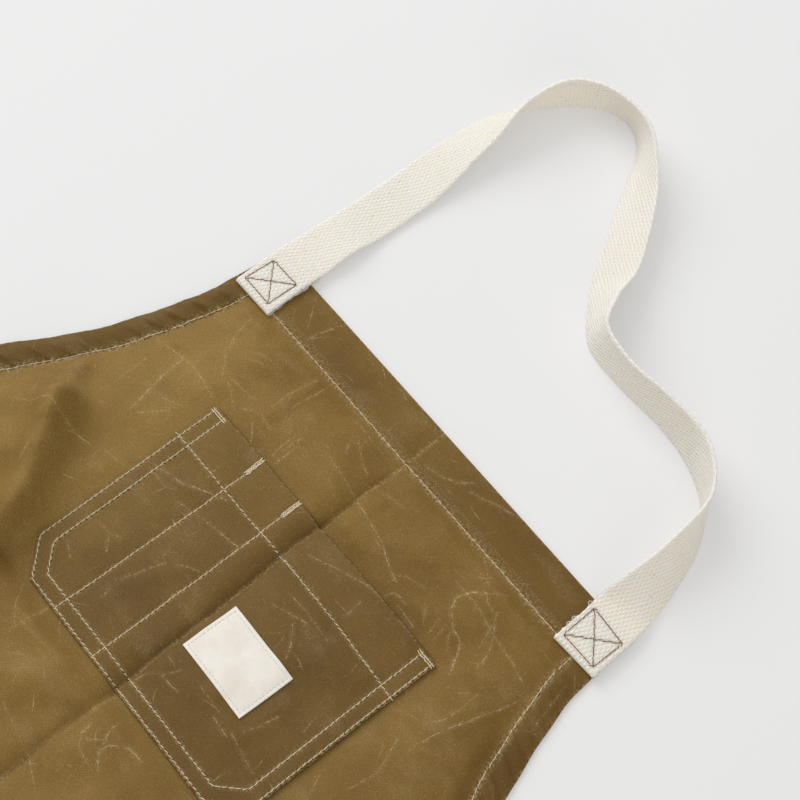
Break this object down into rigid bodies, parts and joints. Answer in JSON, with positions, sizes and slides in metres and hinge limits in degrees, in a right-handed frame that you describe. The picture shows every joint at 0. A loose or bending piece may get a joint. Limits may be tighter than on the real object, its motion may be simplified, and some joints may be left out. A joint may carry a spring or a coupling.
{
  "type": "bib apron",
  "caption": "Waxed canvas bib apron lying flat, with a divided patch pocket on the chest, a bare label, a webbing neck loop and webbing waist ties.",
  "frame": {"origin": "on the back of the cloth, in the middle of the waist, on the surface that the apron lies on", "axes": "+Y up the bib to the neck, +X across the bib to the strap end on the right as it lies, +Z out of the front"},
  "size_m": [0.8086, 1.155, 0.0255],
  "materials": {
    "canvas": "waxed, soft sheen",
    "pocket_canvas": "waxed, soft sheen",
    "webbing": "matt natural cotton",
    "label": "matt woven cotton"
  },
  "bodies": {
    "root": {"apron_body": "canvas", "chest_pocket": "pocket_canvas", "label": "label", "neck_strap": "webbing", "waist_tie_left": "webbing", "waist_tie_right": "webbing"}
  },
  "joints": []
}
